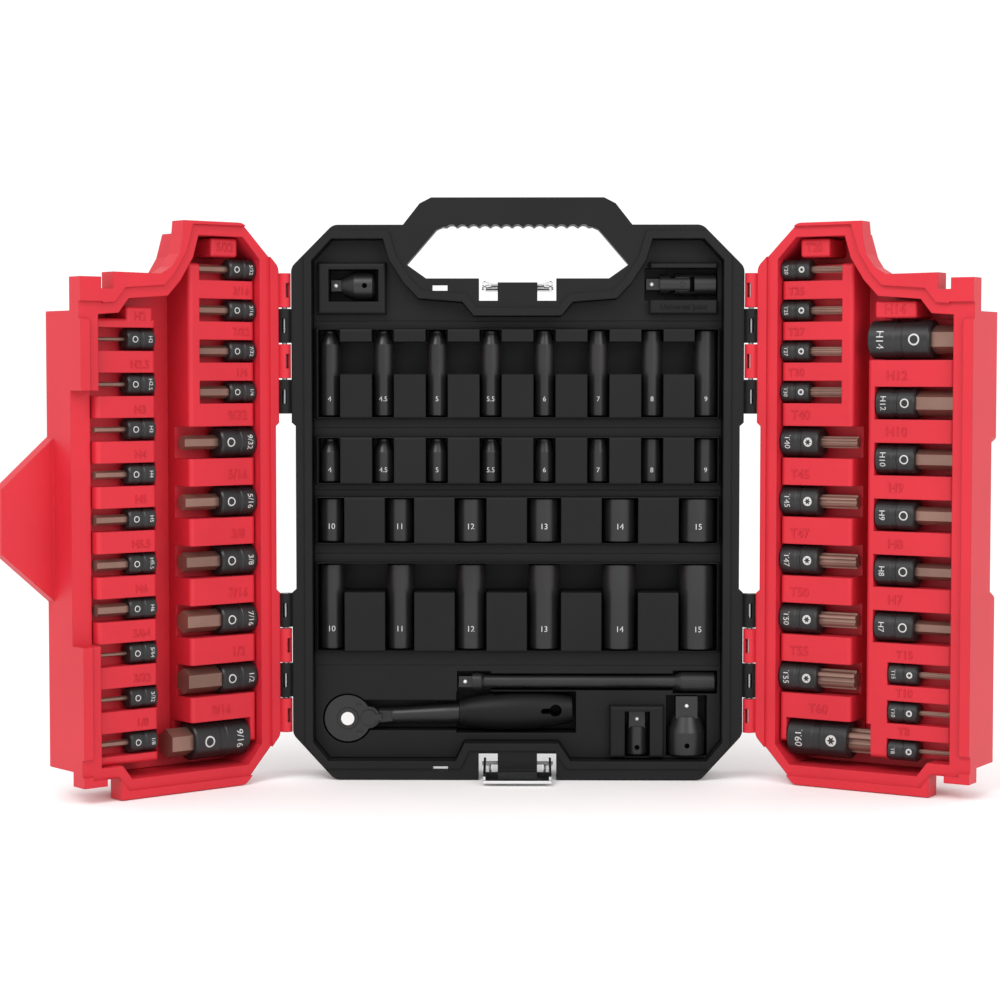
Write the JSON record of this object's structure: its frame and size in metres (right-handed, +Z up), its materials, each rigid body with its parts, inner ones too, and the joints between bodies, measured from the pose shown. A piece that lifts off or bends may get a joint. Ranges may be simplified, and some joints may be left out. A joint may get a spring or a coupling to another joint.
{
  "type": "socket wrench set in case",
  "caption": "Folding three-leaf tool case with carry handle and toggle latches, holding a ratchet, sockets, bit sockets, extension, swivel joint and adapters.",
  "frame": {"origin": "middle of the centre tray on the plane that its feet stand on, at the rim plane", "axes": "+X to the right seen from the front, +Y into the tray, +Z up"},
  "size_m": [0.5584, 0.1288, 0.3392],
  "materials": {
    "black_plastic": "fine moulded grain",
    "red_plastic": "fine moulded grain",
    "pin_steel": "plain",
    "latch_chrome": "bright plated",
    "black_steel": "black phosphate, satin",
    "bit_steel": "brown tempered tool steel",
    "bright_steel": "satin",
    "grip_plastic": "satin"
  },
  "bodies": {
    "tray": {"tray_shell": "black_plastic", "tray_insert_tool_deck": "black_plastic", "tray_insert_deep_large": "black_plastic", "tray_insert_short_large": "black_plastic", "tray_insert_short_small": "black_plastic", "tray_insert_deep_small": "black_plastic", "tray_insert_upper_deck": "black_plastic", "left_hinge_pins": "pin_steel", "right_hinge_pins": "pin_steel", "top_latch_pin": "pin_steel", "bottom_latch_pin": "pin_steel", "deep_sockets_small": "black_steel", "short_sockets_small": "black_steel", "short_socket_10": "black_steel", "short_socket_11": "black_steel", "short_socket_12": "black_steel", "short_socket_13": "black_steel", "short_socket_14": "black_steel", "short_socket_15": "black_steel", "deep_socket_10": "black_steel", "deep_socket_11": "black_steel", "deep_socket_12": "black_steel", "deep_socket_13": "black_steel", "deep_socket_14": "black_steel", "deep_socket_15": "black_steel"},
    "left_door": {"left_door_shell": "red_plastic", "left_door_insert": "red_plastic", "left_hinge_column_bodies": "black_steel", "left_hinge_column_bits": "bit_steel", "left_free_column_bodies": "black_steel", "left_free_column_bits": "bit_steel"},
    "right_door": {"right_door_shell": "red_plastic", "right_door_insert": "red_plastic", "right_hinge_column_bodies": "black_steel", "right_hinge_column_bits": "bit_steel", "right_free_column_bodies": "black_steel", "right_free_column_bits": "bit_steel"},
    "top_lever": {"top_latch_lever": "latch_chrome"},
    "top_bail": {"top_latch_bail": "latch_chrome"},
    "bottom_lever": {"bottom_latch_lever": "latch_chrome"},
    "bottom_bail": {"bottom_latch_bail": "latch_chrome"},
    "ratchet": {"ratchet_body": "black_steel", "ratchet_cover": "black_steel", "ratchet_screws": "bright_steel", "ratchet_grip": "grip_plastic", "ratchet_pawl": "black_steel"},
    "drive": {"ratchet_drive": "black_steel"},
    "button": {"release_button": "bright_steel"},
    "reverser": {"reversing_lever": "black_steel"},
    "extension": {"extension_bar": "black_steel"},
    "swivel_socket": {"swivel_socket_yoke": "black_steel"},
    "swivel_centre": {"swivel_cross": "bright_steel"},
    "swivel_drive": {"swivel_drive_yoke": "black_steel"},
    "reducer": {"drive_reducer": "black_steel"},
    "adapter_small": {"small_adapter": "black_steel"},
    "adapter_large": {"large_adapter": "black_steel"}
  },
  "joints": [
    {"name": "left_door_hinge", "type": "hinge", "parent": "tray", "child": "left_door", "pos_m": [-0.1352, 0, 0.16], "axis": [0, 0, -1], "range_deg": [-139.3, 40.7]},
    {"name": "right_door_hinge", "type": "hinge", "parent": "tray", "child": "right_door", "pos_m": [0.1352, 0, 0.16], "axis": [0, 0, 1], "range_deg": [-149, 31]},
    {"name": "top_lever_hinge", "type": "hinge", "parent": "tray", "child": "top_lever", "pos_m": [0, 0.009, 0.287], "axis": [1, 0, 0], "range_deg": [0, 165]},
    {"name": "top_bail_hinge", "type": "hinge", "parent": "top_lever", "child": "top_bail", "pos_m": [0, 0.005, 0.2894], "axis": [-1, 0, 0], "range_deg": [-180, 0]},
    {"name": "bottom_lever_hinge", "type": "hinge", "parent": "tray", "child": "bottom_lever", "pos_m": [0, 0.009, 0.0085], "axis": [-1, 0, 0], "range_deg": [-168, 0]},
    {"name": "bottom_bail_hinge", "type": "hinge", "parent": "bottom_lever", "child": "bottom_bail", "pos_m": [0, 0.01341, 0.00698], "axis": [-1, 0, 0], "range_deg": [-180, 0]},
    {"name": "ratchet_lift", "type": "slide", "parent": "tray", "child": "ratchet", "axis": [0, -1, 0], "range_m": [0, 0.045]},
    {"name": "drive_spin", "type": "hinge", "parent": "ratchet", "child": "drive", "pos_m": [-0.1, 0.018, 0.0344], "axis": [0, 1, 0], "continuous": true},
    {"name": "reverser_turn", "type": "hinge", "parent": "ratchet", "child": "reverser", "pos_m": [-0.08751, 0.018, 0.0349], "axis": [0, 1, 0], "range_deg": [-25, 25]},
    {"name": "button_press", "type": "slide", "parent": "drive", "child": "button", "axis": [0, 1, 0], "range_m": [0, 0.0012], "stiffness_N_per_m": 400},
    {"name": "extension_lift", "type": "slide", "parent": "tray", "child": "extension", "axis": [0, -1, 0], "range_m": [0, 0.045]},
    {"name": "swivel_lift", "type": "slide", "parent": "tray", "child": "swivel_socket", "axis": [0, -1, 0], "range_m": [0, 0.045]},
    {"name": "swivel_tilt", "type": "hinge", "parent": "swivel_socket", "child": "swivel_centre", "pos_m": [0.096, 0.015, 0.2894], "axis": [0, 0, 1], "range_deg": [0, 34]},
    {"name": "swivel_sway", "type": "hinge", "parent": "swivel_centre", "child": "swivel_drive", "pos_m": [0.096, 0.015, 0.2894], "axis": [0, 1, 0], "range_deg": [-6, 6]},
    {"name": "reducer_lift", "type": "slide", "parent": "tray", "child": "reducer", "axis": [0, -1, 0], "range_m": [0, 0.045]},
    {"name": "small_adapter_lift", "type": "slide", "parent": "tray", "child": "adapter_small", "axis": [0, -1, 0], "range_m": [0, 0.045]},
    {"name": "large_adapter_lift", "type": "slide", "parent": "tray", "child": "adapter_large", "axis": [0, -1, 0], "range_m": [0, 0.045]}
  ]
}
